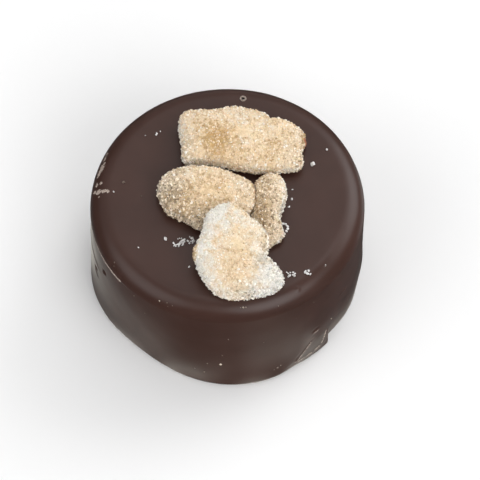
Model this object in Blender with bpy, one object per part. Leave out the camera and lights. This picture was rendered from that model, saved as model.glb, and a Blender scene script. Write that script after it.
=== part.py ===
"""A round ganache, coated in dark chocolate, with four pieces of crystallised ginger on its top.

Every size below is in millimetres, and the meshes are in metres. X runs to the right, Y to the back and
Z up. The origin is at the middle of the underside.
"""

import math

import bmesh
import bpy
import numpy as np
from mathutils import Vector, noise

MM = 0.001

# The chocolate is a drum with a flat top, a rounded rim and a side that is no longer quite round at the foot.
RIM_RADIUS = 15.0
RIM_LEVEL = 13.0
RIM_WIDTH = 2.2
RIM_RISE = 2.2
TOP_LEVEL = RIM_LEVEL + RIM_RISE
FOOT_ROUNDING = 0.6
SPREAD = 0.39

# Flats in the side: the direction that each faces and its spread in degrees, and its depth at the underside
FLATS = (
    (-131.0, 20.0, 1.16),
    (-39.5, 17.0, 1.36),
    (-8.0, 9.0, 0.62),
    (68.5, 22.5, 0.43),
    (149.0, 18.5, 0.52),
)

# The lip is coating that ran out over the foot. It thins out at its first end and stops short at its last.
# Its course gives, for some directions, the level it is full below and the level it starts from.
LIP_FIRST = -67.0
LIP_FULL = -55.0
LIP_LAST = -38.7
LIP_BREAK = 3.4
LIP_RADIUS = 14.76
LIP_COURSE = (
    (-67.0, 0.6, 1.3),
    (-59.0, 0.7, 1.6),
    (-52.0, 0.9, 3.0),
    (-45.0, 1.3, 3.0),
    (-38.7, 1.6, 2.6),
)

# Ginger pieces: the gap under and between them, and the depth of their lumps and of their sugar crust
GAP = 0.3
LUMP_DEPTH = 0.16
LUMP_SIZE = 2.6
CRUST_DEPTH = 0.11
GRAIN_SIZE = 0.5
SIDE_FULLNESS = 0.52
TOP_FULLNESS = 0.78
WAIST = 0.3

# Counts of columns and rings, of steps between two points of an outline, and of the neighbours on each side
# that a ginger piece's inner rings are rounded over
BODY_COLUMNS = 96
TOP_RINGS = 3
RIM_RINGS = 6
SIDE_RINGS = 10
EDGE_RINGS = 3
GINGER_COLUMNS = 54
GINGER_RINGS = 20
CURVE_STEPS = 24
ROUNDING_SPAN = 5

# Each ginger piece: its outline seen from above, its thickness, how much thicker it grows for each
# millimetre to the right and to the back, and how fast it climbs to the back where it leans on others.
GINGER = {
    "ginger_back": {
        "outline": (
            (8.8, 6.1), (8.4, 7.5), (7.6, 8.3), (6.1, 8.9), (5.1, 8.9), (4.3, 9.6), (2.4, 10.3),
            (0.4, 10.5), (-2.0, 10.1), (-4.3, 10.0), (-5.3, 9.2), (-5.4, 7.6), (-5.0, 5.6), (-5.0, 4.2),
            (-4.4, 3.5), (-1.6, 3.5), (0.8, 2.9), (3.4, 2.4), (6.4, 2.5), (8.2, 3.1), (8.0, 4.7),
        ),
        "thickness": 3.1, "grow_right": -0.06, "grow_back": 0.02, "climb": 0.0, "seed": 3,
    },
    "ginger_left": {
        "outline": (
            (3.0, -0.9), (2.6, 0.5), (1.3, 1.5), (-0.2, 2.2), (-2.0, 2.6), (-4.6, 2.7), (-6.2, 2.3),
            (-7.3, 1.2), (-7.6, -0.3), (-7.2, -1.7), (-6.4, -2.9), (-4.7, -3.8), (-3.0, -4.8),
            (-1.2, -4.4), (1.0, -3.6), (2.5, -2.5),
        ),
        "thickness": 2.9, "grow_right": 0.0, "grow_back": 0.16, "climb": 0.0, "seed": 11,
    },
    "ginger_right": {
        "outline": (
            (6.4, 0.6), (5.8, 1.6), (4.5, 1.8), (3.5, 1.0), (3.4, -0.6), (3.4, -2.2), (3.0, -3.8),
            (3.1, -5.2), (4.2, -7.0), (5.1, -6.6), (6.15, -5.5), (5.65, -4.2), (6.0, -2.4), (6.5, -0.7),
        ),
        "thickness": 2.3, "grow_right": 0.0, "grow_back": 0.14, "climb": 0.0, "seed": 23,
    },
    "ginger_front": {
        "outline": (
            (4.3, -8.3), (4.2, -6.8), (3.2, -5.4), (1.8, -4.1), (0.3, -2.9), (-1.2, -3.5), (-2.4, -4.6),
            (-2.7, -6.0), (-3.3, -7.5), (-3.75, -8.5), (-3.35, -9.9), (-2.6, -11.5), (-1.4, -12.9),
            (0.9, -13.6), (3.6, -13.2), (5.2, -12.8), (6.0, -11.8), (5.7, -10.6), (4.7, -9.6),
        ),
        "thickness": 3.0, "grow_right": 0.0, "grow_back": -0.1, "climb": 0.27, "seed": 37,
    },
}

CHOCOLATE_COLOUR = (0.052, 0.028, 0.021, 1.0)
CHOCOLATE_ROUGHNESS = 0.35
CHOCOLATE_CREASE = 50.0
GINGER_COLOUR = (0.74, 0.55, 0.33, 1.0)
GINGER_ROUGHNESS = 0.6
GINGER_CREASE = 70.0


def clear_scene():
    """Removes every object of the scene."""
    for item in list(bpy.data.objects):
        bpy.data.objects.remove(item, do_unlink=True)


def finish(name, colour, roughness):
    """A plain finish of one colour."""
    material = bpy.data.materials.new(name)
    material.use_nodes = True
    shader = material.node_tree.nodes["Principled BSDF"]
    shader.inputs["Base Color"].default_value = colour
    shader.inputs["Roughness"].default_value = roughness
    shader.inputs["Metallic"].default_value = 0.0
    return material


def ease(value):
    """Runs smoothly from 0 to 1 as the value does, and stays there outside."""
    value = np.clip(value, 0.0, 1.0)
    return value * value * (3.0 - 2.0 * value)


def turn_between(angle, middle):
    """The turn in degrees from one direction to another, by the short way round."""
    return (angle - middle + 180.0) % 360.0 - 180.0


def side_radius(angle, level):
    """How far the side stands out, in a direction in degrees and at a level above the underside.

    The side is a full circle under the rim. Downwards the spread widens it, each flat takes a bell-shaped
    bite out of it, and both grow with the square of the depth. Where the lip is, the side goes over to the
    lip's own radius near the underside.
    """
    depth = np.clip((RIM_LEVEL - level) / RIM_LEVEL, 0.0, 1.0) ** 2
    radius = RIM_RADIUS + SPREAD * depth
    for middle, width, bite in FLATS:
        radius = radius - bite * depth * np.exp(-0.5 * (turn_between(angle, middle) / width) ** 2)
    along = ease((angle - LIP_FIRST) / (LIP_FULL - LIP_FIRST)) * ease((LIP_LAST - angle) / LIP_BREAK)
    course, full, start = np.array(LIP_COURSE).T
    start = np.interp(angle, course, start)
    height = ease((start - level) / (start - np.interp(angle, course, full)))
    return radius + (LIP_RADIUS - radius) * along * height


def body_ring(angles, inset, level, side_level):
    """One ring of the chocolate: the side's outline at side_level, moved in and set at a level."""
    radius = side_radius(angles, side_level) - inset
    turns = np.radians(angles)
    return np.column_stack((radius * np.cos(turns), radius * np.sin(turns), np.full(angles.size, level)))


def body_rings():
    """The rings of the chocolate from the top's middle, over the rim and down the side, to the underside."""
    angles = np.arange(BODY_COLUMNS) * 360.0 / BODY_COLUMNS - 180.0
    rings = []
    for step in range(1, TOP_RINGS):
        inset = RIM_RADIUS - (RIM_RADIUS - RIM_WIDTH) * step / TOP_RINGS
        rings.append(body_ring(angles, inset, TOP_LEVEL, RIM_LEVEL))
    for step in range(RIM_RINGS + 1):
        turn = 0.5 * math.pi * step / RIM_RINGS
        inset = RIM_WIDTH * (1.0 - math.sin(turn))
        rings.append(body_ring(angles, inset, RIM_LEVEL + RIM_RISE * math.cos(turn), RIM_LEVEL))
    for step in range(1, SIDE_RINGS + 1):
        level = RIM_LEVEL - (RIM_LEVEL - FOOT_ROUNDING) * math.sin(0.5 * math.pi * step / SIDE_RINGS)
        rings.append(body_ring(angles, 0.0, level, level))
    for step in range(1, EDGE_RINGS + 1):
        turn = 0.5 * math.pi * step / EDGE_RINGS
        inset = FOOT_ROUNDING * (1.0 - math.cos(turn))
        rings.append(body_ring(angles, inset, FOOT_ROUNDING * (1.0 - math.sin(turn)), FOOT_ROUNDING))
    return rings


def smooth_outline(points, count):
    """Points along a closed smooth curve through the given points, evenly spread by length.

    Between two points the curve is the cubic whose direction at each point is that of its neighbours.
    """
    knots = np.array(points)
    before, after = np.roll(knots, 1, axis=0), np.roll(knots, -1, axis=0)
    beyond = np.roll(knots, -2, axis=0)
    steps = np.linspace(0.0, 1.0, CURVE_STEPS, endpoint=False)[None, :, None]
    start, end = knots[:, None], after[:, None]
    leave, arrive = 0.5 * (after - before)[:, None], 0.5 * (beyond - knots)[:, None]
    curve = (
        start * (2.0 * steps ** 3 - 3.0 * steps ** 2 + 1.0)
        + leave * (steps ** 3 - 2.0 * steps ** 2 + steps)
        + end * (3.0 * steps ** 2 - 2.0 * steps ** 3)
        + arrive * (steps ** 3 - steps ** 2)
    ).reshape(-1, 2)
    closed = np.vstack((curve, curve[:1]))
    length = np.concatenate(([0.0], np.cumsum(np.hypot(*np.diff(closed, axis=0).T))))
    places = np.arange(count) * length[-1] / count
    return np.column_stack([np.interp(places, length, closed[:, axis]) for axis in (0, 1)])


def ginger_rings(piece):
    """The rings of a ginger piece from its underside to its top.

    Each ring is the outline drawn in towards its middle, and rounder the further in. The rings run up a
    rounded box section, widest at its waist: the width is a power of the cosine and the height above or
    below the waist a power of the sine of one angle. At last the piece is set down on the chocolate.
    """
    outline = smooth_outline(piece["outline"], GINGER_COLUMNS)
    middle = 0.5 * (outline.min(axis=0) + outline.max(axis=0))
    reach = outline - middle
    round_reach = sum(np.roll(reach, turn, axis=0) for turn in range(-ROUNDING_SPAN, ROUNDING_SPAN + 1))
    round_reach = round_reach / (2 * ROUNDING_SPAN + 1)
    rings = []
    for step in range(1, GINGER_RINGS):
        turn = math.pi * (step / GINGER_RINGS - 0.5)
        width = math.cos(turn) ** SIDE_FULLNESS
        height = math.copysign(abs(math.sin(turn)) ** TOP_FULLNESS, math.sin(turn))
        share = WAIST + height * (WAIST if height < 0.0 else 1.0 - WAIST)
        offset = width * (width * reach + (1.0 - width) * round_reach)
        flat = middle + offset
        growth = piece["grow_right"] * offset[:, 0] + piece["grow_back"] * offset[:, 1]
        height_here = share * (piece["thickness"] + growth) + piece["climb"] * flat[:, 1]
        rings.append(np.column_stack((flat, height_here)))
    drop = min(ring[:, 2].min() for ring in rings) - TOP_LEVEL - GAP
    return [ring - (0.0, 0.0, drop) for ring in rings]


def skin(mesh, rings):
    """Joins each ring to the next with four-sided faces and closes both ends with a fan round the middle."""
    loops = [[mesh.verts.new(Vector(point) * MM) for point in ring] for ring in rings]
    for outer, inner in zip(loops, loops[1:]):
        for here in range(len(outer)):
            ahead = (here + 1) % len(outer)
            mesh.faces.new((outer[here], outer[ahead], inner[ahead], inner[here]))
    ends = [mesh.faces.new(loop) for loop in (loops[0], loops[-1])]
    bmesh.ops.poke(mesh, faces=ends)
    bmesh.ops.recalc_face_normals(mesh, faces=mesh.faces)


def crust(mesh, seed):
    """Pushes a skin in and out along its normals by smooth lumps and by single grains of sugar.

    The push fades out where a face looks down, so the underside stays as it is. A grain counts for less
    where the points lie closer together than grains do.
    """
    draw = np.random.default_rng(seed)
    grains = draw.uniform(-1.0, 1.0, len(mesh.verts))
    shift = Vector((seed * 7.3, seed * 1.9, 0.0))
    mesh.normal_update()
    pushes = []
    for vert, grain in zip(mesh.verts, grains):
        lump = 2.0 * noise.noise(vert.co / (LUMP_SIZE * MM) + shift)
        upward = float(ease(vert.normal.z + 1.0))
        spacing = min(edge.calc_length() for edge in vert.link_edges) / (GRAIN_SIZE * MM)
        grain = grain * min(1.0, spacing)
        pushes.append(vert.normal * (upward * (LUMP_DEPTH * lump + CRUST_DEPTH * grain) * MM))
    for vert, push in zip(mesh.verts, pushes):
        vert.co += push


def place(name, mesh, material, crease_degrees):
    """Makes the named object, shaded smooth except where faces meet at more than the crease's angle."""
    data = bpy.data.meshes.new(name)
    mesh.to_mesh(data)
    mesh.free()
    data.shade_smooth()
    data.set_sharp_from_angle(angle=math.radians(crease_degrees))
    data.materials.append(material)
    item = bpy.data.objects.new(name, data)
    bpy.context.scene.collection.objects.link(item)


def make_chocolate():
    """The coated ganache, one solid."""
    mesh = bmesh.new()
    skin(mesh, body_rings())
    coat = finish("dark_chocolate", CHOCOLATE_COLOUR, CHOCOLATE_ROUGHNESS)
    place("chocolate", mesh, coat, CHOCOLATE_CREASE)


def make_ginger(name, piece, material):
    """One piece of crystallised ginger."""
    mesh = bmesh.new()
    skin(mesh, ginger_rings(piece))
    crust(mesh, piece["seed"])
    place(name, mesh, material, GINGER_CREASE)


def main():
    clear_scene()
    make_chocolate()
    sugared = finish("sugared_ginger", GINGER_COLOUR, GINGER_ROUGHNESS)
    for name, piece in GINGER.items():
        make_ginger(name, piece, sugared)


main()
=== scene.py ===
"""Looks of a round dark chocolate ganache that carries four pieces of crystallised ginger.

Sizes in the tables below are in millimetres and directions in degrees, seen from above and counted
anticlockwise from the right. Meshes are in metres, with X to the right, Y to the back and Z up.
"""

import math

import bpy
import numpy as np
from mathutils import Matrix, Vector


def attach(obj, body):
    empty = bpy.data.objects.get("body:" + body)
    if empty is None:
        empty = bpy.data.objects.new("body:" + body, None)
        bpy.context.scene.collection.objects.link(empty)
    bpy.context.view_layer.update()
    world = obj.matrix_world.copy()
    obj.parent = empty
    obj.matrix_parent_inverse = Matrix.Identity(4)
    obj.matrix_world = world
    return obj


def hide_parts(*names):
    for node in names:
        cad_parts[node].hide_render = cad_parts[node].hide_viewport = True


MM = 0.001
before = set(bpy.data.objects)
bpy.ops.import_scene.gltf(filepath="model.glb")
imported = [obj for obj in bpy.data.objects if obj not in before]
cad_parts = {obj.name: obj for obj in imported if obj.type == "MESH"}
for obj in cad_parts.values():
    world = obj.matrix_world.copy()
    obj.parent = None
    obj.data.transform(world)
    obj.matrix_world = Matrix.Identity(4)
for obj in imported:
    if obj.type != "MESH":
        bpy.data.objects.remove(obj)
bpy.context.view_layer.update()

# The chocolate's form, as in the solid that its skin replaces. SPREAD is how far the side widens down to the
# foot. A flat is its direction, its width and how deep it bites there.
RIM_RADIUS = 15.0
RIM_LEVEL = 13.0
RIM_ROUNDING = 2.2
TOP_LEVEL = RIM_LEVEL + RIM_ROUNDING
FOOT_ROUNDING = 0.6
SPREAD = 0.39
FLATS = (
    (-131.0, 20.0, 1.16),
    (-39.5, 17.0, 1.36),
    (-8.0, 9.0, 0.62),
    (68.5, 22.5, 0.43),
    (149.0, 18.5, 0.52),
)

# The lip of coating over the foot: its first and last direction, and how it grows in and breaks off there.
# Its course gives, for some directions, the level it is full below and the level it starts from.
LIP_FIRST = -67.0
LIP_FULL = -55.0
LIP_LAST = -38.7
LIP_BREAK = 3.4
LIP_RADIUS = 14.76
LIP_COURSE = (
    (-67.0, 0.6, 1.3),
    (-59.0, 0.7, 1.6),
    (-52.0, 0.9, 3.0),
    (-45.0, 1.3, 3.0),
    (-38.7, 1.6, 2.6),
)

# A place on the skin is a direction and a run: the way along the skin from the top's middle outwards and
# down. The flat top ends at FLAT_RUN, the rim's rounding at RIM_RUN and the side at SIDE_RUN.
FLAT_RUN = RIM_RADIUS - RIM_ROUNDING
RIM_RUN = FLAT_RUN + 0.5 * math.pi * RIM_ROUNDING
SIDE_RUN = RIM_RUN + RIM_LEVEL - FOOT_ROUNDING
FOOT_RUN = SIDE_RUN + 0.5 * math.pi * FOOT_ROUNDING

# The skin's rings lie this far apart at these runs. Its columns crowd together towards the front.
RING_RUNS = (0.0, 12.2, 13.0, 15.7, 16.05, 16.45, 16.9, SIDE_RUN, FOOT_RUN)
RING_SPACING = (0.44, 0.44, 0.12, 0.11, 0.035, 0.035, 0.125, 0.12, 0.1)
UNDER_RINGS = 4
SKIN_COLUMNS = 476
FRONT = -100.0
CROWDING = 0.45

# Steps in the sums that the columns' directions and the rings' runs are read off from
DIRECTION_STEPS = 2881
RUN_STEPS = 6001

# Slow unevenness of the coat: the size of its waves, their height and a seed
WAVES = ((5.0, 0.035, 1), (1.7, 0.010, 2))

# Ridges and nicks in the coat: start and end as direction and run, half width, taper at the ends, and
# height, which is negative for a nick
STROKES = (
    ((-186.0, 16.25), (-138.0, 16.25), 0.075, 4.0, 0.030),
    ((-183.0, 20.4), (-160.0, 21.0), 0.22, 1.5, 0.050),
    ((-165.6, 22.3), (-162.4, 22.0), 0.10, 0.3, -0.110),
    ((-165.4, 22.7), (-161.1, 23.2), 0.13, 0.5, 0.060),
    ((-154.6, 18.95), (-152.2, 19.1), 0.11, 0.3, -0.130),
    ((-155.8, 19.6), (-153.6, 19.6), 0.12, 0.3, 0.080),
    ((-51.0, 24.3), (-46.9, 24.4), 0.14, 0.3, 0.050),
    ((-51.1, 23.7), (-48.0, 23.7), 0.16, 0.5, -0.050),
    ((-34.0, 21.2), (-29.8, 21.4), 0.12, 0.5, 0.035),
    ((-51.4, 26.1), (-59.3, 28.1), 0.18, 0.5, 0.075),
    ((-50.6, 25.7), (-59.3, 27.5), 0.18, 0.5, -0.050),
    ((-42.2, 27.4), (-46.5, 27.9), 0.17, 0.4, 0.060),
    ((-46.5, 27.9), (-50.5, 28.1), 0.17, 0.4, 0.060),
    ((-50.5, 28.1), (-59.0, 28.2), 0.16, 0.4, 0.060),
    ((-57.8, 14.25), (-56.6, 13.8), 0.16, 0.4, 0.090),
)

# Rubbed places on the left of the rim: direction, run, half length round the rim, half width along the run
RUBBED = (
    (155.4, 14.70, 0.26, 0.34),
    (158.6, 14.65, 0.50, 0.20),
    (161.2, 14.35, 0.36, 0.18),
    (163.6, 14.50, 0.78, 0.48),
    (166.6, 14.65, 0.66, 0.34),
    (172.2, 14.00, 0.28, 0.24),
    (172.5, 14.60, 0.34, 0.30),
    (175.9, 14.80, 0.32, 0.40),
    (176.6, 14.20, 0.44, 0.50),
    (176.9, 13.55, 0.40, 0.46),
    (177.0, 13.05, 0.32, 0.34),
    (179.4, 14.10, 0.14, 0.14),
)

# Worn and lit lines, under the rim on the left and over the lip, painted pale: partly rubbed wear, and
# partly painted highlight along the crease under the rim and along the lip's fold and crests. Each is its
# start and end as direction and run, half width, and how worn and lit it is, as the value in its middle.
# Away from all worn places the value is UNWORN.
UNWORN = -2.0
WORN_TAPER = 0.5
WORN_AND_LIT_LINES = (
    ((-184.0, 16.45), (-140.0, 16.45), 0.36, 0.72),
    ((-51.0, 26.0), (-59.3, 28.05), 0.12, 0.88),
    ((-40.5, 26.6), (-46.5, 27.8), 0.15, 0.72),
    ((-46.5, 27.8), (-50.5, 28.05), 0.15, 0.80),
    ((-50.5, 28.05), (-61.0, 28.2), 0.13, 0.68),
    ((-51.0, 24.3), (-46.9, 24.4), 0.12, 0.96),
)

# The painted sheen on the lip's face, a paler grey coat that stands in for the gloss there: start and end as
# direction and run, half width, taper at the ends, and how pale it is in the middle
LIP_PAINTED_SHEEN = ((-41.5, 27.0), (-58.0, 28.0), 0.60, 0.8, 0.60)

# Dust on the coat: direction, run and size of each speck, and how pale it is. The last is a black speck
# painted as the shade in the bubble's pit.
DUST_SEED = 83
DUST = (
    (-132.5, 16.8, 0.10, 0.5), (-120.0, 15.1, 0.17, 0.9), (-116.6, 14.9, 0.09, 0.3),
    (-114.0, 15.0, 0.09, 0.3), (-115.9, 15.3, 0.08, 0.2), (-126.9, 18.9, 0.08, 0.4),
    (-93.0, 24.6, 0.20, 1.0), (-98.6, 24.8, 0.10, 0.7), (-92.4, 22.8, 0.08, 0.3),
    (-89.8, 19.5, 0.08, 0.3), (-68.9, 27.1, 0.17, 0.2), (-67.3, 26.9, 0.12, 0.5),
    (-70.4, 27.3, 0.10, 0.3), (-83.2, 14.2, 0.15, 0.5), (-82.0, 14.2, 0.11, 0.3),
    (-84.3, 14.2, 0.09, 0.4), (-68.0, 14.9, 0.08, 0.3), (-39.0, 24.8, 0.11, 0.8),
    (-40.1, 13.9, 0.09, 0.3), (-147.1, 14.9, 0.12, 0.1), (-146.4, 15.3, 0.10, 0.1),
    (-104.0, 26.4, 0.08, 0.5), (-99.9, 26.6, 0.15, 0.2), (-75.0, 21.0, 0.07, 0.2),
    (-107.0, 20.2, 0.07, 0.2), (-60.4, 18.4, 0.07, 0.2), (-51.5, 17.2, 0.07, 0.2),
    (171.0, 11.45, 0.28, 0.05), (180.1, 9.38, 0.18, 0.02), (82.0, 12.80, 0.34, -0.1),
)

# The rim of a burst bubble at the back: its middle, radius and half thickness, how worn it looks, and the
# points of its mesh round the ring and round its section
BUBBLE = (1.78, 12.68, 0.27, 0.10)
BUBBLE_WORN = 0.45
BUBBLE_TURNS = 28
BUBBLE_SIDES = 10

# The ginger pieces' form, as in their solids: the powers that make their sides and tops full, the height of
# their widest ring as a share of the thickness, and the share of the outline that inner rings are rounded
# over
SIDE_FULLNESS = 0.52
TOP_FULLNESS = 0.78
WAIST = 0.3
ROUNDED_SHARE = 5.0 / 54.0

# Their mesh, how far their flesh lies under the crystals and sinks into the flat top, and their lumps' size
# and depth
CURVE_STEPS = 24
GINGER_COLUMNS = 236
GINGER_RINGS = 112
CRUST_INSET = 0.08
SINK = 0.04
LUMPS = ((2.6, 0.14), (1.1, 0.07), (0.5, 0.045))

# The skin counts as level where its normal rises by more than this. What is steeper gets painted shade: a
# darker, greyer crust.
LEVEL_SKIN = 0.625
PAINTED_SIDE_SHADE = 0.3

# Blotches in the frost: their size and how much they change it
BLOTCHES = ((1.3, 0.09), (0.5, 0.12), (0.25, 0.16))

# Each ginger piece: its outline from above, its form as in the solid, and its sugar crust. A groove is its
# start, its end, its half width and its depth. Frost is 0 where bare amber ginger shows and 1 where the
# sugar is white, and sides have more of it than the top. Where it is dusky the crust is darker, greyer and
# more broken up: partly the crust's own greyer tone, and partly painted shade on flanks that face away from
# the light. A patch of either is a middle, two radii and what it adds.
GINGER = {
    "ginger_back": {
        "outline": (
            (8.8, 6.3), (8.4, 7.5), (7.6, 8.3), (6.1, 8.9), (5.1, 8.9), (4.3, 9.6), (2.4, 10.3),
            (0.4, 10.5), (-2.0, 10.1), (-4.3, 10.0), (-5.3, 9.2), (-5.4, 7.6), (-5.0, 5.6), (-5.0, 4.2),
            (-4.4, 3.5), (-1.6, 3.5), (0.8, 2.9), (3.4, 2.4), (6.4, 2.5), (8.2, 3.1), (8.25, 5.0),
        ),
        "thickness": 3.1, "grow_right": -0.06, "grow_back": 0.02, "climb": 0.0, "seed": 3,
        "grooves": ((3.6, 6.8, 5.0, 3.0, 0.5, 0.16), (-3.6, 6.6, -2.6, 4.0, 0.5, 0.12)),
        "frost": 0.52, "sides": 0.22,
        "patches": (
            (-1.2, 5.8, 1.4, 1.7, -0.50), (-1.2, 8.3, 2.2, 0.9, 0.15), (6.6, 4.2, 1.8, 1.2, -0.12),
            (-4.9, 7.0, 0.8, 3.5, 0.10), (-2.0, 3.2, 0.9, 0.6, 0.20), (1.2, 3.3, 1.6, 0.7, -0.08),
            (1.5, 8.0, 1.2, 1.0, 0.10), (8.9, 6.1, 0.36, 0.75, -2.4),
        ),
        "dusky_and_shaded": ((-4.4, 4.4, 1.2, 1.2, 0.2), (7.4, 3.4, 1.3, 1.1, 0.35), (8.2, 5.6, 0.9, 1.3, 0.3)),
    },
    "ginger_left": {
        "outline": (
            (3.25, -0.9), (2.9, 0.5), (1.5, 1.5), (-0.2, 2.2), (-2.0, 2.6), (-4.6, 2.7), (-6.2, 2.3),
            (-7.3, 1.2), (-7.6, -0.3), (-7.2, -1.7), (-6.4, -2.9), (-4.7, -3.8), (-3.0, -4.8),
            (-1.2, -4.4), (1.0, -3.6), (2.8, -2.5),
        ),
        "thickness": 2.9, "grow_right": 0.0, "grow_back": 0.16, "climb": 0.0, "seed": 11,
        "grooves": ((0.7, 1.6, 1.2, -1.0, 0.35, 0.18), (1.2, -1.0, 0.6, -3.0, 0.35, 0.14)),
        "frost": 0.50, "sides": 0.14,
        "patches": (
            (-1.6, -0.9, 1.1, 1.1, -0.24), (-5.8, -2.4, 2.0, 1.5, -0.34), (-2.8, -4.0, 1.8, 1.0, -0.20),
            (-4.5, 2.0, 2.6, 0.9, 0.04),
        ),
        "dusky_and_shaded": ((-6.5, -1.2, 1.7, 2.4, 0.95), (-2.8, -4.2, 2.4, 0.9, 0.8), (1.9, -0.4, 1.0, 1.4, 0.3)),
    },
    "ginger_right": {
        "outline": (
            (6.4, 0.6), (5.8, 1.6), (4.4, 1.9), (3.2, 1.1), (3.0, -0.6), (2.9, -2.2), (2.5, -3.8),
            (2.8, -5.2), (4.2, -7.0), (5.1, -6.6), (6.15, -5.5), (5.65, -4.2), (6.0, -2.4), (6.5, -0.7),
        ),
        "thickness": 2.3, "grow_right": 0.0, "grow_back": 0.14, "climb": 0.0, "seed": 23,
        "grooves": (),
        "frost": 0.32, "sides": 0.16,
        "patches": (
            (6.2, -1.0, 0.5, 2.6, 0.35), (5.9, -4.6, 0.4, 1.2, 0.30), (5.2, 1.0, 1.0, 0.8, 0.15),
            (4.4, -6.2, 1.2, 0.7, 0.10), (4.0, -3.0, 0.6, 1.6, -0.25),
        ),
        "dusky_and_shaded": ((4.2, -3.4, 1.6, 3.4, 0.75),),
    },
    "ginger_front": {
        "outline": (
            (4.45, -7.9), (4.2, -6.6), (3.2, -5.4), (1.8, -4.1), (0.3, -2.9), (-1.2, -3.5), (-2.4, -4.6),
            (-2.7, -6.0), (-3.3, -7.5), (-3.75, -8.5), (-3.35, -9.9), (-2.6, -11.5), (-1.4, -12.9),
            (0.9, -13.6), (3.6, -13.2), (5.2, -12.8), (6.0, -11.8), (5.7, -10.6), (4.5, -9.5), (4.15, -8.8),
        ),
        "thickness": 3.0, "grow_right": 0.0, "grow_back": -0.1, "climb": 0.27, "seed": 37,
        "grooves": ((4.4, -9.0, 2.9, -10.2, 0.42, 0.34), (2.9, -10.2, 2.4, -12.4, 0.5, 0.20)),
        "frost": 0.86, "sides": 0.08,
        "patches": (
            (0.6, -8.2, 1.5, 1.9, -0.26), (1.0, -11.7, 1.6, 1.8, -0.38), (2.6, -7.6, 1.0, 1.4, -0.08),
            (-3.2, -8.5, 0.9, 3.0, 0.15), (4.5, -11.6, 1.6, 1.4, 0.16), (-0.9, -4.6, 1.5, 1.1, 0.25),
            (-3.9, -8.4, 0.36, 0.7, -1.7), (1.3, -3.9, 0.9, 0.8, -0.50), (3.9, -7.4, 0.7, 1.8, -0.20),
        ),
        "dusky_and_shaded": (
            (2.4, -13.2, 1.6, 0.6, 0.5), (3.6, -10.0, 1.0, 0.5, 0.3), (4.0, -7.2, 0.8, 2.0, 0.35),
            (5.6, -10.6, 1.0, 1.5, 0.70),
        ),
    },
}

# A sugar crystal of size 1: its outline, half its height, how far it is stretched and how uneven it is
CRYSTAL_OUTLINE = ((0.5, 0.5), (-0.2, 0.5), (-0.5, 0.2), (-0.5, -0.5), (0.2, -0.5), (0.5, -0.2))
CRYSTAL_HALF_HEIGHT = 0.36
CRYSTAL_STRETCH = (0.7, 1.3)
CRYSTAL_UNEVENNESS = 0.12

# Sugar crystals for each square millimetre of crust, their sizes, how far their middles may lie under and
# over the skin as a share of their size, and the frost below which there are none
CRYSTALS_PER_MM2 = 22.0
CRYSTAL_SMALLEST = 0.09
CRYSTAL_LARGEST = 0.25
CRYSTAL_DEPTHS = (-0.25, 0.3)
BARE_BELOW = -0.5

# Loose sugar on the chocolate: how high a grain's middle lies as a share of its size, and the place from
# above and size of each grain
GRAIN_HEIGHT = 0.3
GRAIN_SEED = 71
LOOSE_GRAINS = (
    (9.35, 3.99, 0.42), (-6.75, -5.55, 0.36), (-7.74, 8.01, 0.26), (-7.33, 8.39, 0.16),
    (-5.85, -6.09, 0.20), (-5.77, -6.38, 0.22), (-5.62, -6.50, 0.20), (-5.52, -6.30, 0.20),
    (-5.36, -6.27, 0.20), (-5.24, -6.40, 0.22), (-5.18, -6.18, 0.24), (-5.05, -6.02, 0.24),
    (-4.96, -5.86, 0.22), (-4.82, -5.78, 0.24), (-4.68, -5.68, 0.24), (-4.66, -5.95, 0.18),
    (-4.88, -6.34, 0.18), (-4.80, -6.14, 0.18), (-5.37, -5.56, 0.12), (-5.18, -5.48, 0.12),
    (-4.98, -5.46, 0.12), (-4.10, -5.30, 0.16), (-3.84, -5.49, 0.26), (-4.30, -5.84, 0.20),
    (-4.13, -6.12, 0.26), (-3.95, -5.89, 0.18), (-3.68, -5.86, 0.24), (-3.80, -6.08, 0.14),
    (-4.15, -9.12, 0.20), (6.43, -9.92, 0.20), (6.55, -10.04, 0.18), (6.69, -10.30, 0.24),
    (6.54, -10.45, 0.20), (6.76, -9.90, 0.16), (7.06, -9.90, 0.22), (7.22, -10.08, 0.24),
    (7.02, -10.22, 0.20), (7.20, -10.30, 0.22), (8.36, -9.86, 0.20), (8.56, -9.98, 0.26),
    (8.76, -9.68, 0.20), (8.70, -10.05, 0.20), (8.94, -10.12, 0.18), (8.44, -9.72, 0.16),
    (6.08, -3.72, 0.24), (6.34, -3.76, 0.22), (6.50, -3.98, 0.20), (6.54, -4.32, 0.24),
    (6.40, -4.62, 0.22), (7.02, -0.52, 0.20), (7.10, 0.75, 0.16), (6.70, -1.50, 0.20),
    (-12.40, 0.54, 0.16), (-9.66, -6.64, 0.16), (-8.96, 7.86, 0.12), (10.91, 5.92, 0.18),
    (10.60, -8.94, 0.12),
)

# Soft studio lights by direction: azimuth (0 to the back, 90 to the right) and elevation, the half angles
# between which the light fades out, and its radiance. The base is added everywhere.
SKY_BASE = 0.07
SKY_LIGHTS = (
    (0.0, 88.0, 4.0, 28.0, 0.95),
    (2.0, 62.0, 4.0, 34.0, 0.68),
    (32.0, 49.0, 4.0, 26.0, 1.45),
    (54.0, 29.0, 6.0, 30.0, 3.65),
    (98.0, 37.0, 4.0, 28.0, 0.85),
    (147.0, 33.0, 4.0, 34.0, 4.20),
    (-162.0, 44.0, 4.0, 30.0, 0.50),
    (-117.0, 31.0, 4.0, 38.0, 2.25),
    (-60.0, 44.0, 4.0, 34.0, 0.62),
    (0.0, 16.0, 4.0, 34.0, 0.42),
    (62.0, -8.0, 4.0, 34.0, 0.18),
    (126.0, -12.0, 4.0, 34.0, 0.25),
    (50.0, -34.0, 4.0, 18.0, 0.85),
    (-45.0, -58.0, 4.0, 34.0, 0.14),
    (75.0, -58.0, 4.0, 34.0, 0.07),
)

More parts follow.
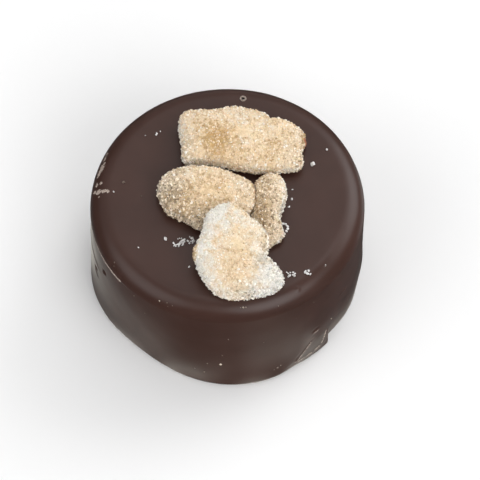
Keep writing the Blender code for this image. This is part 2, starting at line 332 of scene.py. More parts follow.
# What the gloss alone sees on the floor: a sheet between two radii at a low height, with soft fields, each
# by its direction, radius, half turn, half width and radiance
GLOW_TINT = (1.0, 0.98, 0.88)
GLOW_SHEET = (12.0, 24.0, 0.02)
GLOW_COLUMNS = 240
GLOW_RINGS = 49
GLOW_FIELDS = (
    (-197.0, 19.2, 4.0, 0.6, 2.20),
    (-188.0, 17.1, 7.0, 0.6, 1.80),
    (-170.0, 17.3, 9.0, 0.8, 0.50),
    (-150.0, 16.9, 10.0, 1.0, 0.28),
    (-148.0, 13.7, 11.0, 0.6, 2.20),
    (-138.0, 19.2, 12.0, 1.4, 0.17),
    (-127.0, 16.4, 9.0, 1.2, 0.42),
    (-114.0, 14.8, 4.5, 0.5, 1.10),
    (-105.0, 15.8, 5.5, 0.5, 1.30),
    (-95.0, 17.0, 5.0, 0.9, 0.50),
    (-72.0, 18.4, 9.0, 1.1, 0.78),
    (-79.0, 15.0, 5.0, 0.7, 1.90),
    (-57.0, 17.3, 6.0, 1.2, 0.56),
    (-72.0, 20.0, 12.0, 1.0, 0.30),
    (-47.0, 15.8, 3.5, 0.5, 0.90),
    (-60.0, 14.5, 6.0, 0.4, 2.00),
    (-37.0, 14.0, 8.0, 0.8, 0.28),
    (-12.0, 14.0, 14.0, 0.5, 1.20),
)

# Half the width of the floor's card
FLOOR_REACH = 4000.0

# The view: the point looked at, how far away and how high the camera is, the photograph's scale and pixel
# there, and in metres how near and far it sees
VIEW_POINT = (0.0, 0.0, RIM_LEVEL)
VIEW_DISTANCE = 600.0
VIEW_ELEVATION = 57.64
PIXELS_PER_MM = 9.145
VIEW_POINT_PIXEL = (227.5, 206.45)
FRAME_PIXELS = 480
SENSOR_WIDTH = 36.0
NEAREST_SEEN = 0.05
FARTHEST_SEEN = 20.0

# Colours of the coat: its dark and light clouds, the lip's painted sheen, and the dark and pale parts of a
# scuff, which also paint the highlight lines over the crease and the lip
COAT_DARK = (0.047, 0.0208, 0.0152, 1.0)
COAT_LIGHT = (0.054, 0.0242, 0.0180, 1.0)
# The painted sheen is a paler grey that stands in for the gloss on the lip's face.
COAT_PAINTED_SHEEN = (0.16, 0.15, 0.135, 1.0)
SCUFF_AND_HIGHLIGHT_DARK = (0.28, 0.215, 0.18, 1.0)
SCUFF_AND_HIGHLIGHT_PALE = (0.52, 0.44, 0.38, 1.0)

# Colours of the ginger, from skin through flesh to sugared flesh and white sugar
GINGER_SKIN = (0.40, 0.12, 0.05, 1.0)
GINGER_FLESH = (0.60, 0.38, 0.155, 1.0)
GINGER_PEACH = (0.86, 0.67, 0.44, 1.0)
GINGER_WHITE = (0.89, 0.84, 0.76, 1.0)

# Colours of the crystals: over amber flesh, over peach flesh and over white sugar, of the palest ones, and
# of the loose ones
CRYSTAL_AMBER = (0.64, 0.45, 0.25, 1.0)
CRYSTAL_PEACH = (0.88, 0.71, 0.50, 1.0)
CRYSTAL_WHITE = (0.90, 0.86, 0.78, 1.0)
CRYSTAL_GLINT = (0.93, 0.89, 0.82, 1.0)
CRYSTAL_CLEAR = (0.95, 0.93, 0.91, 1.0)

# Colours of the painted shade in the bubble's pit, of thin and thick dust, and of the floor's card
PAINTED_PIT_SHADE = (0.01, 0.006, 0.005, 1.0)
DUST_BROWN = (0.12, 0.085, 0.07, 1.0)
DUST_CREAM = (0.74, 0.64, 0.52, 1.0)
CARD_WHITE = (0.93, 0.93, 0.93, 1.0)

# How light scatters under the ginger's surface: how far in metres, and for red, green and blue
FLESH_DEPTH = 0.0007
FLESH_SCATTER = (1.0, 0.55, 0.3)

# What mixes a lattice point's numbers and its seed, and how large the sine is that they go through
LATTICE_MIX = (12.9898, 78.233, 37.719)
LATTICE_SEED = 4.137
LATTICE_SINE = 43758.5453


def ease(value):
    """Runs smoothly from 0 to 1 as the value does, by 3 v^2 - 2 v^3, and stays there outside."""
    value = np.clip(value, 0.0, 1.0)
    return value * value * (3.0 - 2.0 * value)


def bell(value):
    """A bell curve of height 1, exp(-v^2 / 2)."""
    return np.exp(-0.5 * value ** 2)


def turn_between(angle, middle):
    """The turn in degrees from one direction to another, by the short way round."""
    return (angle - middle + 180.0) % 360.0 - 180.0


def lattice_value(cell, seed):
    """A number from -1 to 1 for each whole-numbered point: the fraction left by a large sine."""
    mixed = cell @ np.array(LATTICE_MIX) + seed * LATTICE_SEED
    return 2.0 * np.mod(np.sin(mixed) * LATTICE_SINE, 1.0) - 1.0


def smooth_noise(points, size, seed):
    """Noise from -1 to 1: each point blends the eight lattice values round it by its eased distances."""
    scaled = points / size
    cell = np.floor(scaled)
    share = ease(scaled - cell)
    total = np.zeros(points.shape[:-1])
    for corner in np.ndindex(2, 2, 2):
        weight = np.prod(np.where(corner, share, 1.0 - share), axis=-1)
        total += weight * lattice_value(cell + corner, seed)
    return total


def grid_normals(points):
    """Unit normals of a grid of rings whose columns close up: the cross product of its two steps."""
    across = np.roll(points, -1, axis=1) - np.roll(points, 1, axis=1)
    down = np.gradient(points, axis=0)
    normals = np.cross(down, across)
    return normals / np.linalg.norm(normals, axis=-1, keepdims=True)


def fill_mesh(name, points, faces, values):
    """A smooth-shaded object from points in millimetres, with the named values on its points."""
    data = bpy.data.meshes.new(name)
    data.from_pydata((points * MM).tolist(), [], faces)
    for label, numbers in values.items():
        data.attributes.new(label, "FLOAT", "POINT").data.foreach_set("value", numbers.astype(np.float32))
    data.shade_smooth()
    item = bpy.data.objects.new(name, data)
    bpy.context.scene.collection.objects.link(item)
    return item


def closed_rings(name, grid, values):
    """A closed surface from rings of points, the top one first: each ring is joined to the next with
    four-sided faces, and the two ends are fanned shut round their middles."""
    rings, columns = grid.shape[:2]
    here = np.arange(columns)
    ahead = (here + 1) % columns
    start = np.arange(rings - 1)[:, None] * columns
    below = start + columns
    quads = np.stack((start + here, below + here, below + ahead, start + ahead), axis=-1)
    top, bottom = rings * columns, (rings - 1) * columns
    fans = np.vstack((
        np.column_stack((np.full(columns, top), here, ahead)),
        np.column_stack((np.full(columns, top + 1), bottom + ahead, bottom + here)),
    ))
    points = np.vstack((grid.reshape(-1, 3), grid[0].mean(axis=0), grid[-1].mean(axis=0)))
    on_points = {
        label: np.concatenate((field.ravel(), (field[0].mean(), field[-1].mean())))
        for label, field in values.items()
    }
    return fill_mesh(name, points, quads.reshape(-1, 4).tolist() + fans.tolist(), on_points)


class Wire:
    """An output socket of a node tree. Arithmetic on it adds a Math node and gives that node's output."""

    def __init__(self, tree, socket):
        self.tree = tree
        self.socket = socket

    def math(self, operation, first, second):
        return self.node("ShaderNodeMath", {"operation": operation}, {0: first, 1: second})

    def __add__(self, other):
        return self.math("ADD", self, other)

    def __radd__(self, other):
        return self.math("ADD", other, self)

    def __sub__(self, other):
        return self.math("SUBTRACT", self, other)

    def __rsub__(self, other):
        return self.math("SUBTRACT", other, self)

    def __mul__(self, other):
        return self.math("MULTIPLY", self, other)

    def __rmul__(self, other):
        return self.math("MULTIPLY", other, self)

    def node(self, kind, settings, sockets, output=0):
        """Adds a node to the tree: first its settings, then its sockets' values or links."""
        made = self.tree.nodes.new(kind)
        for name, value in settings.items():
            setattr(made, name, value)
        for name, value in sockets.items():
            if isinstance(value, Wire):
                self.tree.links.new(value.socket, made.inputs[name])
            else:
                made.inputs[name].default_value = value
        outputs = made.outputs
        return Wire(self.tree, outputs[output] if len(outputs) else None)


def new_tree(owner):
    """Empties the node tree of a material or a world. Gives a Wire to add nodes from."""
    owner.use_nodes = True
    owner.node_tree.nodes.clear()
    return Wire(owner.node_tree, None)


def noise(tree, place, size, detail=2.0):
    """Noise round 0.5 with spots of about the given size in millimetres."""
    sockets = {"Vector": place, "Scale": 1.0 / (size * MM), "Detail": detail}
    return tree.node("ShaderNodeTexNoise", {}, sockets, "Fac")


def step_between(tree, value, low, high):
    """0 below low, 1 above high and a smooth step between them."""
    sockets = {"Value": value, "From Min": low, "From Max": high}
    return tree.node("ShaderNodeMapRange", {"interpolation_type": "SMOOTHSTEP"}, sockets)


def blend(tree, share, first, second):
    """The first colour where the share is 0 and the second where it is 1."""
    return tree.node("ShaderNodeMix", {"data_type": "RGBA"}, {0: share, 6: first, 7: second}, 2)


def tone(tree, colour, saturation, light):
    """The colour with its saturation and brightness multiplied."""
    sockets = {"Color": colour, "Saturation": saturation, "Value": light}
    return tree.node("ShaderNodeHueSaturation", {}, sockets, "Color")


def bump(tree, height, depth):
    """Normals of a relief whose height runs over the given depth in millimetres."""
    return tree.node("ShaderNodeBump", {}, {"Height": height, "Distance": depth * MM}, "Normal")


def material(name, build):
    """A material whose Principled shader takes the sockets that build gives for its tree."""
    made = bpy.data.materials.new(name)
    tree = new_tree(made)
    shader = tree.node("ShaderNodeBsdfPrincipled", {}, build(tree), "BSDF")
    tree.node("ShaderNodeOutputMaterial", {}, {"Surface": shader})
    return made


def dark_chocolate(tree):
    """Glossy dark coat, a little cloudy, with a painted pale sheen on the lip's face and dull pinkish places
    of
    two tones: rubbed wear on the rim, and painted highlight along the crease and the lip's crests.
    """
    place = tree.node("ShaderNodeTexCoord", {}, {}, "Object")
    cloud = noise(tree, place, 4.0, 3.0)
    fine = noise(tree, place, 0.35, 3.0)
    grain = noise(tree, place, 0.12)
    rubbed_and_lit = tree.node("ShaderNodeAttribute", {"attribute_name": "rubbed_and_lit"}, {}, "Fac")
    painted_sheen = tree.node("ShaderNodeAttribute", {"attribute_name": "painted_sheen"}, {}, "Fac")
    # Scuff colour on rubbed places, and painted highlight along the worn and lit lines
    worn_and_lit = step_between(tree, rubbed_and_lit + (fine - 0.5) * 1.1 + (grain - 0.5) * 0.7, 0.15, 0.45)
    pale = step_between(tree, grain, 0.4, 0.65)
    scuff_and_highlight = blend(tree, pale, SCUFF_AND_HIGHLIGHT_DARK, SCUFF_AND_HIGHLIGHT_PALE)
    clouded = blend(tree, step_between(tree, cloud, 0.3, 0.7), COAT_DARK, COAT_LIGHT)
    # Painted sheen: the coat turns paler grey on the lip's face.
    coat = blend(tree, painted_sheen, clouded, COAT_PAINTED_SHEEN)
    return {
        "Base Color": blend(tree, worn_and_lit, coat, scuff_and_highlight),
        "Roughness": 0.27 + cloud * 0.08 + worn_and_lit * 0.3,
        "IOR": 1.40,
        "Normal": bump(tree, cloud * 0.5 + fine * 0.12, 0.02),
    }


def crystallised_ginger(tree):
    """Amber ginger under sugar: the frost value leads from skin and amber flesh over peach to white, and
    noise lightens and darkens it. Where it is dusky, which is partly the crust's greyer tone and partly
    painted shade, it is darker, greyer and more broken up."""
    place = tree.node("ShaderNodeTexCoord", {}, {}, "Object")
    frost = tree.node("ShaderNodeAttribute", {"attribute_name": "frost"}, {}, "Fac")
    dusk_and_shade = tree.node("ShaderNodeAttribute", {"attribute_name": "dusk_and_shade"}, {}, "Fac")
    spots = noise(tree, place, 0.5, 3.0)
    grain = noise(tree, place, 0.16)
    cover = frost + (spots - 0.5) * 0.5 + (grain - 0.5) * 0.3
    bare = blend(tree, step_between(tree, frost, -0.6, -0.1), GINGER_SKIN, GINGER_FLESH)
    warm = blend(tree, step_between(tree, cover, 0.0, 0.5), bare, GINGER_PEACH)
    sugared = blend(tree, step_between(tree, cover, 0.45, 1.0), warm, GINGER_WHITE)
    uneven = (spots - 0.5) * 0.2 + (grain - 0.5) * 0.45
    # Painted shade: dusky places are darker.
    light = 0.98 - dusk_and_shade * 0.2 + uneven * (1.0 + dusk_and_shade * 1.8)
    return {
        "Base Color": tone(tree, sugared, 1.0 - dusk_and_shade * 0.2, light),
        "Roughness": 0.45 + grain * 0.25,
        "Subsurface Weight": 0.35,
        "Subsurface Radius": FLESH_SCATTER,
        "Subsurface Scale": FLESH_DEPTH,
        "Normal": bump(tree, grain + spots * 0.5, 0.06),
    }


def sugar_crust(tree):
    """Crystals grown into the ginger: the colour below them but paler, each a little lighter or darker."""
    frost = tree.node("ShaderNodeAttribute", {"attribute_name": "frost"}, {}, "Fac")
    dusk_and_shade = tree.node("ShaderNodeAttribute", {"attribute_name": "dusk_and_shade"}, {}, "Fac")
    shade = tree.node("ShaderNodeAttribute", {"attribute_name": "shade"}, {}, "Fac")
    cover = frost + shade * (0.55 - frost * 0.52)
    warm = blend(tree, step_between(tree, cover, 0.0, 0.55), CRYSTAL_AMBER, CRYSTAL_PEACH)
    pale = blend(tree, step_between(tree, cover, 0.5, 1.0), warm, CRYSTAL_WHITE)
    # Dusky places darken the crystals too: partly greyer crust, partly painted shade.
    light = 0.98 - dusk_and_shade * 0.2 + shade * (0.12 + dusk_and_shade * 0.50)
    shaded = tone(tree, pale, 1.0 - dusk_and_shade * 0.2 - shade * 0.1, light)
    return {
        "Base Color": blend(tree, step_between(tree, shade, 0.75, 1.0), shaded, CRYSTAL_GLINT),
        "Roughness": 0.28,
        "IOR": 1.54,
    }


def clear_sugar(tree):
    """Loose crystals: partly clear, so that the dark coat shows through them."""
    return {
        "Base Color": CRYSTAL_CLEAR,
        "Roughness": 0.18,
        "IOR": 1.54,
        "Transmission Weight": 0.2,
    }


def dust(tree):
    """Sugar dust, from cocoa brown where thin to cream, and black as painted shade in the bubble's pit."""
    pale = tree.node("ShaderNodeAttribute", {"attribute_name": "pale"}, {}, "Fac")
    # Pale values below 0 give the black painted shade of the bubble's pit.
    brown = blend(tree, step_between(tree, pale, -0.1, 0.05), PAINTED_PIT_SHADE, DUST_BROWN)
    return {
        "Base Color": blend(tree, pale, brown, DUST_CREAM),
        "Roughness": 0.6,
        "Specular IOR Level": 0.2,
    }


def pale_card(tree):
    """The floor's matt card."""
    return {"Base Color": CARD_WHITE, "Roughness": 0.9}


def side_radius(angle, level):
    """How far the side stands out in a direction and at a level.

    It is the rim's radius plus the spread, less a bell-shaped bite for each flat, both times the square of
    the depth below the rim. Where the lip is, it eases over to the lip's radius between the two levels of
    the lip's course.
    """
    depth = np.clip((RIM_LEVEL - level) / RIM_LEVEL, 0.0, 1.0) ** 2
    radius = RIM_RADIUS + SPREAD * depth
    for middle, width, bite in FLATS:
        radius = radius - bite * depth * bell(turn_between(angle, middle) / width)
    along = ease((angle - LIP_FIRST) / (LIP_FULL - LIP_FIRST)) * ease((LIP_LAST - angle) / LIP_BREAK)
    course, full, start = np.array(LIP_COURSE).T
    start = np.interp(angle, course, start)
    height = ease((start - level) / (start - np.interp(angle, course, full)))
    return radius + (LIP_RADIUS - radius) * along * height


def skin_directions():
    """Directions whose spacing goes as 1 / (1 + CROWDING cos(direction - FRONT)), by inverting its sum."""
    fine = np.linspace(-180.0, 180.0, DIRECTION_STEPS)
    passed = fine + CROWDING * np.degrees(np.sin(np.radians(fine - FRONT)))
    wanted = passed[0] + np.arange(SKIN_COLUMNS) * 360.0 / SKIN_COLUMNS
    return np.interp(wanted, passed, fine)


def skin_runs():
    """Runs whose spacing follows RING_SPACING, by inverting the sum of 1 / spacing along the run."""
    fine = np.linspace(0.0, FOOT_RUN, RUN_STEPS)
    density = 1.0 / np.interp(fine, RING_RUNS, RING_SPACING)
    passed = np.concatenate(([0.0], np.cumsum(0.5 * (density[1:] + density[:-1]) * np.diff(fine))))
    return np.interp(np.linspace(0.0, passed[-1], int(passed[-1]))[1:], passed, fine)


def stroke(angle, run, start, end, half_width, taper):
    """A ridge of height 1 along the straight line from start to end on the unrolled skin: a bell across the
    line, which eases away over the taper before both ends."""
    reach = min(start[1], RIM_RADIUS)
    across = np.radians(turn_between(angle, start[0])) * reach
    down = run - start[1]
    goal = np.array((np.radians(turn_between(end[0], start[0])) * reach, end[1] - start[1]))
    length = np.hypot(*goal)
    along = (across * goal[0] + down * goal[1]) / length
    aside = (across * goal[1] - down * goal[0]) / length
    ends = ease((along + 0.5 * taper) / taper) * ease((length + 0.5 * taper - along) / taper)
    return bell(aside / half_width) * ends


def rubbed_and_lit_value(angle, run):
    """How far inside the nearest rubbed place a point is: 1 in its middle, 0 on its outline, less outside.
    Across a worn and lit line, which is partly wear and partly painted highlight, it rises from UNWORN to
    the line's own value and back, by a bell."""
    value = UNWORN
    for start, end, half_width, most in WORN_AND_LIT_LINES:
        line = stroke(angle, run, start, end, half_width, WORN_TAPER)
        value = np.maximum(value, UNWORN + (most - UNWORN) * line)
    for middle, place, half_length, half_width in RUBBED:
        round_rim = np.radians(turn_between(angle, middle)) * RIM_RADIUS / half_length
        value = np.maximum(value, 1.0 - np.hypot(round_rim, (run - place) / half_width))
    return value


def skin_place(angle, run):
    """Points of the plain skin.

    For a direction and a run, the tilt grows from 0 to a quarter turn over the rim, and the level and the
    radius follow from it. Below that the level falls along the side, and a second quarter turn rounds the
    foot.
    """
    tilt = np.clip((run - FLAT_RUN) / RIM_ROUNDING, 0.0, 0.5 * math.pi)
    turn = np.clip((run - SIDE_RUN) / FOOT_ROUNDING, 0.0, 0.5 * math.pi)
    side_level = RIM_LEVEL - np.clip(run - RIM_RUN, 0.0, RIM_LEVEL - FOOT_ROUNDING)
    inset = RIM_ROUNDING * (1.0 - np.sin(tilt)) + FOOT_ROUNDING * (1.0 - np.cos(turn))
    radius = np.where(run < FLAT_RUN, run, side_radius(angle, side_level) - inset)
    level = side_level + RIM_ROUNDING * np.cos(tilt) - FOOT_ROUNDING * np.sin(turn)
    turned = np.radians(angle)
    return np.stack((radius * np.cos(turned), radius * np.sin(turned), level + 0.0 * radius), axis=-1)


def make_skin():
    """The chocolate's skin: waves and strokes push the plain skin along its normals. They fade out at the
    foot, and each ring of the underside is the one before it, drawn in towards the middle by its share."""
    run, angle = np.meshgrid(skin_runs(), skin_directions(), indexing="ij")
    grid = skin_place(angle, run)
    push = sum(height * smooth_noise(grid, size, seed) for size, height, seed in WAVES)
    for start, end, half_width, taper, height in STROKES:
        push = push + height * stroke(angle, run, start, end, half_width, taper)
    push = push * ease((FOOT_RUN - run) / FOOT_ROUNDING)
    grid = grid + grid_normals(grid) * push[..., None]
    # The lip's painted sheen, a paler grey band that stands in for its gloss
    start, end, half_width, taper, palest = LIP_PAINTED_SHEEN
    fields = {
        "rubbed_and_lit": rubbed_and_lit_value(angle, run),
        "painted_sheen": palest * stroke(angle, run, start, end, half_width, taper),
    }
    for share in np.linspace(1.0, 0.0, UNDER_RINGS + 1)[1:-1]:
        grid = np.concatenate((grid, (grid[-1] * (share, share, 1.0))[None]))
        fields = {label: np.concatenate((field, field[-1:])) for label, field in fields.items()}
    return closed_rings("chocolate_coat", grid, fields)


def smooth_outline(points, count):
    """Points along a closed smooth curve through the given points, evenly spread by length.

    Between two points the curve is the cubic whose direction at each point is that of its neighbours.
    """
    knots = np.array(points)
    before, after = np.roll(knots, 1, axis=0), np.roll(knots, -1, axis=0)
    beyond = np.roll(knots, -2, axis=0)
    steps = np.linspace(0.0, 1.0, CURVE_STEPS, endpoint=False)[None, :, None]
    start, end = knots[:, None], after[:, None]
    leave, arrive = 0.5 * (after - before)[:, None], 0.5 * (beyond - knots)[:, None]
    curve = (
        start * (2.0 * steps ** 3 - 3.0 * steps ** 2 + 1.0)
        + leave * (steps ** 3 - 2.0 * steps ** 2 + steps)
        + end * (3.0 * steps ** 2 - 2.0 * steps ** 3)
        + arrive * (steps ** 3 - steps ** 2)
    ).reshape(-1, 2)
    closed = np.vstack((curve, curve[:1]))
    length = np.concatenate(([0.0], np.cumsum(np.hypot(*np.diff(closed, axis=0).T))))
    places = np.arange(count) * length[-1] / count
    return np.column_stack([np.interp(places, length, closed[:, axis]) for axis in (0, 1)])


def ginger_grid(piece):
    """A ginger piece from its top to its underside.

    Each ring is the outline drawn in towards its middle, and rounder the further in. One angle runs down a
    rounded box section: the width is a power of its cosine, the height over the waist a power of its sine.
    Lumps of three sizes then push the skin along its normals, less where it looks down, and grooves draw
    it in by a bell of the distance from their lines.
    """
    outline = smooth_outline(piece["outline"], GINGER_COLUMNS)
    middle = 0.5 * (outline.min(axis=0) + outline.max(axis=0))
    reach = outline - middle
    span = round(ROUNDED_SHARE * GINGER_COLUMNS)
    rounder = sum(np.roll(reach, turn, axis=0) for turn in range(-span, span + 1)) / (2 * span + 1)
    angle = np.linspace(0.5 * math.pi, -0.5 * math.pi, GINGER_RINGS + 1)[1:-1, None]
    width = np.cos(angle) ** SIDE_FULLNESS
    height = np.sign(angle) * np.abs(np.sin(angle)) ** TOP_FULLNESS
    share = WAIST + height * np.where(height < 0.0, WAIST, 1.0 - WAIST)
    offset = width[..., None] * (width[..., None] * reach + (1.0 - width[..., None]) * rounder)
    flat = middle + offset
    growth = piece["grow_right"] * offset[..., 0] + piece["grow_back"] * offset[..., 1]
    level = share * (piece["thickness"] + growth) + piece["climb"] * flat[..., 1]
    grid = np.concatenate((flat, (level - level.min() + TOP_LEVEL - SINK)[..., None]), axis=-1)
    normals = grid_normals(grid)
    lumps = sum(depth * smooth_noise(grid, size, piece["seed"] + size) for size, depth in LUMPS)
    for start_x, start_y, end_x, end_y, half_width, depth in piece["grooves"]:
        start, along = np.array((start_x, start_y)), np.array((end_x - start_x, end_y - start_y))
        passed = np.clip((grid[..., :2] - start) @ along / (along @ along), 0.0, 1.0)
        aside = np.linalg.norm(grid[..., :2] - start - passed[..., None] * along, axis=-1)
        lumps = lumps - depth * bell(aside / half_width) * ease(2.0 * normals[..., 2])
    return grid + normals * (ease(normals[..., 2:] + 1.0) * (lumps[..., None] - CRUST_INSET))


def patch_sum(grid, patches):
    """The sum of the patches over a grid: a bell for each, seen from above."""
    places = grid[..., None, :2]
    x, y, width, length, added = np.array(patches).T
    away = np.hypot((places[..., 0] - x) / width, (places[..., 1] - y) / length)
    return (added * bell(away)).sum(axis=-1)


def crust_fields(piece, grid):
    """The frost over a grid, from -1 to 1: the piece's own value, more of it the steeper the skin, blotches
    and patches. And how dusky and shaded it is, from 0 to 1: painted shade by its steepness, and patches
    that are partly greyer crust and partly painted shade."""
    steep = 1.0 - ease(grid_normals(grid)[..., 2] / LEVEL_SKIN)
    frost = piece["frost"] + piece["sides"] * steep + patch_sum(grid, piece["patches"])
    frost = frost + sum(depth * smooth_noise(grid, size, piece["seed"] + size) for size, depth in BLOTCHES)
    # Painted shade: steep sides darker and greyer, plus the dusky patches
    dusk_and_shade = PAINTED_SIDE_SHADE * steep + patch_sum(grid, piece["dusky_and_shaded"])
    return {"frost": np.clip(frost, -1.0, 1.0), "dusk_and_shade": np.clip(dusk_and_shade, 0.0, 1.0)}


def crystals(name, places, sizes, values, seed):
    """Sugar crystals as one mesh. Each is a block with two cut edges, stretched, turned at random and
    scaled to its size: points = place + size (turn stretch block)."""
    draw = np.random.default_rng(seed)
    count, corners = len(places), len(CRYSTAL_OUTLINE)
    heights = np.repeat((CRYSTAL_HALF_HEIGHT, -CRYSTAL_HALF_HEIGHT), corners)
    block = np.column_stack((np.tile(CRYSTAL_OUTLINE, (2, 1)), heights))
    stretch = draw.uniform(*CRYSTAL_STRETCH, (count, 1, 3))
    uneven = 1.0 + draw.uniform(-CRYSTAL_UNEVENNESS, CRYSTAL_UNEVENNESS, (count, 2 * corners, 3))
    basis, _ = np.linalg.qr(draw.normal(size=(count, 3, 3)))
    basis[:, :, 0] *= np.sign(np.linalg.det(basis))[:, None]
    shapes = (block * stretch * uneven) @ np.transpose(basis, (0, 2, 1))
    points = (places[:, None] + sizes[:, None, None] * shapes).reshape(-1, 3)
    ring = np.arange(corners)
    ahead = (ring + 1) % corners
    sides = np.column_stack((ring + corners, ahead + corners, ahead, ring))
    caps = np.vstack((ring, ring[::-1] + corners))
    start = 2 * corners * np.arange(count)[:, None, None]
    faces = (start + sides).reshape(-1, 4).tolist() + (start + caps).reshape(-1, corners).tolist()
    on_points = {label: np.repeat(value, 2 * corners) for label, value in values.items()}
    item = fill_mesh(name, points, faces, on_points)
    item.data.shade_flat()
    return item


def crust_places(grid, seed):
    """Places evenly spread over a piece's skin by area, the skin's normals there, and the places' rings and
    columns in the grid.

    The running sum of the faces' areas, thinned to a tenth where they look straight down, is read off at
    even steps, and each place is drawn inside its face.
    """
    draw = np.random.default_rng(seed)
    right, below = np.roll(grid, -1, axis=1), grid[1:]
    down, across = below - grid[:-1], right[:-1] - grid[:-1]
    cross = np.cross(down, across)
    area = np.linalg.norm(cross, axis=-1)
    upward = ease(2.2 + 2.0 * cross[..., 2] / area)
    passed = np.cumsum((area * upward).ravel())
    count = int(CRYSTALS_PER_MM2 * passed[-1])
    picked = np.searchsorted(passed, (np.arange(count) + draw.uniform(size=count)) * passed[-1] / count)
    picked = np.minimum(picked, passed.size - 1)
    ring, column = np.divmod(picked, grid.shape[1])
    places = grid[ring, column] + draw.uniform(size=(count, 1)) * down[ring, column]
    places = places + draw.uniform(size=(count, 1)) * across[ring, column]
    return places, cross[ring, column] / area[ring, column][:, None], ring, column


def make_ginger(name, piece, flesh, sugar):
    """One piece of ginger and the crystals of its crust. Small crystals are commoner than large ones: their
    size grows as the square of an even draw."""
    grid = ginger_grid(piece)
    fields = crust_fields(piece, grid)
    body = closed_rings(name.replace("ginger", "candied_ginger"), grid, fields)
    body.data.materials.append(flesh)
    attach(body, "root")
    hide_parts(name)
    draw = np.random.default_rng(piece["seed"])
    places, normals, ring, column = crust_places(grid, piece["seed"])
    sugared = fields["frost"][ring, column] > BARE_BELOW
    places, normals, ring, column = places[sugared], normals[sugared], ring[sugared], column[sugared]
    sizes = CRYSTAL_SMALLEST + (CRYSTAL_LARGEST - CRYSTAL_SMALLEST) * draw.uniform(size=len(places)) ** 2.0
    places = places + normals * (sizes * draw.uniform(*CRYSTAL_DEPTHS, len(places)))[:, None]
    values = {label: field[ring, column] for label, field in fields.items()}
    values["shade"] = draw.uniform(-1.0, 1.0, len(places))
    crust = crystals(name.replace("ginger", "sugar"), places, sizes, values, piece["seed"])
    crust.data.materials.append(sugar)
    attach(crust, "root")


def make_loose_sugar(sugar):
    """Grains that fell beside the ginger, lying on the flat top."""
    grains = np.array(LOOSE_GRAINS)
    sizes = grains[:, 2]
    places = np.column_stack((grains[:, :2], TOP_LEVEL + GRAIN_HEIGHT * sizes))
    item = crystals("loose_sugar", places, sizes, {}, GRAIN_SEED)
    item.data.materials.append(sugar)
    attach(item, "root")


def make_dust():
    """Specks that cling to the coat, each at its place on the plain skin."""
    angle, run, sizes, pale = np.array(DUST).T
    item = crystals("dust", skin_place(angle, run), sizes, {"pale": pale}, DUST_SEED)
    item.data.materials.append(material("dust", dust))
    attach(item, "root")


def make_bubble(coat):
    """The burst bubble's rim: a circle carried round another one, half sunk into the flat top."""
    middle_x, middle_y, radius, half = BUBBLE
    turn = np.radians(np.arange(BUBBLE_TURNS) * 360.0 / BUBBLE_TURNS)[:, None]
    around = np.radians(np.arange(BUBBLE_SIDES) * 360.0 / BUBBLE_SIDES)[None, :]
    reach = radius + half * np.cos(around)
    level = TOP_LEVEL + half * np.sin(around) + 0.0 * turn
    points = np.stack((middle_x + reach * np.cos(turn), middle_y + reach * np.sin(turn), level), axis=-1)
    here = np.arange(BUBBLE_TURNS * BUBBLE_SIDES).reshape(BUBBLE_TURNS, BUBBLE_SIDES)
    ahead = np.roll(here, -1, axis=0)
    faces = np.stack((here, ahead, np.roll(ahead, -1, axis=1), np.roll(here, -1, axis=1)), axis=-1)
    worn_and_lit = {"rubbed_and_lit": np.full(here.size, BUBBLE_WORN)}
    item = fill_mesh("bubble_rim", points.reshape(-1, 3), faces.reshape(-1, 4).tolist(), worn_and_lit)
    item.data.materials.append(coat)
    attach(item, "root")


def direction(azimuth, elevation):
    """The unit vector towards a light: azimuth 0 is the back and 90 the right."""
    turn, rise = math.radians(azimuth), math.radians(elevation)
    return (math.sin(turn) * math.cos(rise), math.cos(turn) * math.cos(rise), math.sin(rise))


def make_sky():
    """Soft light from all round, with broad brighter fields. Radiance depends on direction alone."""
    world = bpy.data.worlds.new("studio")
    bpy.context.scene.world = world
    world.cycles.sampling_method = "NONE"
    tree = new_tree(world)
    way = tree.node("ShaderNodeTexCoord", {}, {}, "Generated")
    light = SKY_BASE
    for azimuth, elevation, inner, outer, radiance in SKY_LIGHTS:
        sockets = {0: way, 1: direction(azimuth, elevation)}
        toward = tree.node("ShaderNodeVectorMath", {"operation": "DOT_PRODUCT"}, sockets, "Value")
        field = step_between(tree, toward, math.cos(math.radians(outer)), math.cos(math.radians(inner)))
        light = light + field * radiance
    shader = tree.node("ShaderNodeBackground", {}, {"Strength": light})
    tree.node("ShaderNodeOutputWorld", {}, {"Surface": shader})


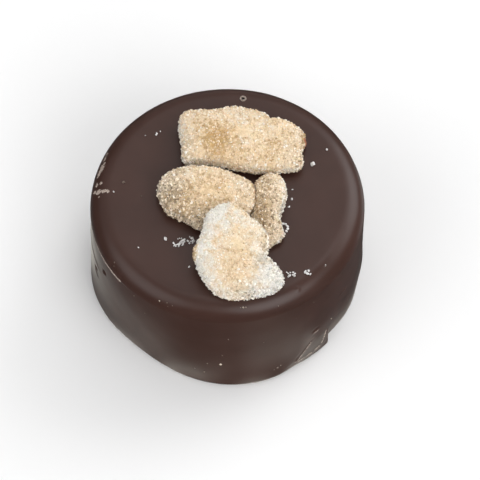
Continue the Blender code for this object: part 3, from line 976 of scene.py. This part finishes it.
def make_glow():
    """A flat ring sheet just over the floor, which only the gloss sees: radius times direction. It adds its
    fields' light, a bell of turn and radius for each, to what lies behind it."""
    inner, outer, height = GLOW_SHEET
    columns = np.arange(GLOW_COLUMNS) * 360.0 / GLOW_COLUMNS - 180.0
    angle, reach = np.meshgrid(columns, np.linspace(inner, outer, GLOW_RINGS), indexing="ij")
    turned = np.radians(angle)
    points = np.stack((reach * np.cos(turned), reach * np.sin(turned), height + 0.0 * reach), axis=-1)
    shine = sum(
        radiance * bell(turn_between(angle, middle) / half_turn) * bell((reach - radius) / half_width)
        for middle, radius, half_turn, half_width, radiance in GLOW_FIELDS
    )
    here = np.arange(angle.size).reshape(angle.shape)
    ahead = np.roll(here, -1, axis=0)
    faces = np.stack((here[:, :-1], here[:, 1:], ahead[:, 1:], ahead[:, :-1]), axis=-1).reshape(-1, 4)
    sheet = fill_mesh("glow", points.reshape(-1, 3), faces.tolist(), {"shine": shine.ravel()})
    made = bpy.data.materials.new("glow")
    tree = new_tree(made)
    share = tree.node("ShaderNodeAttribute", {"attribute_name": "shine"}, {}, "Fac")
    tint = tree.node("ShaderNodeVectorMath", {"operation": "SCALE"}, {0: GLOW_TINT, "Scale": share})
    light = tree.node("ShaderNodeEmission", {}, {"Color": tint})
    clear = tree.node("ShaderNodeBsdfTransparent", {}, {})
    surface = tree.node("ShaderNodeAddShader", {}, {0: light, 1: clear})
    tree.node("ShaderNodeOutputMaterial", {}, {"Surface": surface})
    sheet.data.materials.append(made)
    for ray in ("camera", "diffuse", "transmission", "shadow"):
        setattr(sheet, "visible_" + ray, False)


def make_floor():
    """A wide pale card under the chocolate, left out of its gloss."""
    corners = np.array(((-1.0, -1.0, 0.0), (1.0, -1.0, 0.0), (1.0, 1.0, 0.0), (-1.0, 1.0, 0.0)))
    floor = fill_mesh("floor", FLOOR_REACH * corners, [(0, 1, 2, 3)], {})
    floor.data.materials.append(material("pale_card", pale_card))
    floor.visible_glossy = False


def make_camera():
    """A camera at the photograph's angle, turned so that the view point falls on its pixel."""
    data = bpy.data.cameras.new("camera")
    data.sensor_width = SENSOR_WIDTH
    data.lens = SENSOR_WIDTH * VIEW_DISTANCE * PIXELS_PER_MM / FRAME_PIXELS
    data.clip_start = NEAREST_SEEN
    data.clip_end = FARTHEST_SEEN
    camera = bpy.data.objects.new("camera", data)
    bpy.context.scene.collection.objects.link(camera)
    back = Vector(direction(180.0, VIEW_ELEVATION))
    right = Vector((1.0, 0.0, 0.0))
    up = back.cross(right)
    target = Vector(VIEW_POINT)
    target += right * ((0.5 * FRAME_PIXELS - VIEW_POINT_PIXEL[0]) / PIXELS_PER_MM)
    target -= up * ((0.5 * FRAME_PIXELS - VIEW_POINT_PIXEL[1]) / PIXELS_PER_MM)
    camera.location = (Vector(VIEW_POINT) + back * VIEW_DISTANCE) * MM
    camera.rotation_euler = (target * MM - camera.location).to_track_quat("-Z", "Y").to_euler()
    bpy.context.scene.camera = camera


def main():
    coat = material("dark_chocolate", dark_chocolate)
    skin = make_skin()
    skin.data.materials.append(coat)
    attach(skin, "root")
    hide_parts("chocolate")
    make_bubble(coat)
    flesh = material("crystallised_ginger", crystallised_ginger)
    sugar = material("sugar_crust", sugar_crust)
    for name, piece in GINGER.items():
        make_ginger(name, piece, flesh, sugar)
    make_loose_sugar(material("clear_sugar", clear_sugar))
    make_dust()
    make_sky()
    make_floor()
    make_glow()
    make_camera()
    bpy.context.scene.view_settings.view_transform = "Standard"


main()
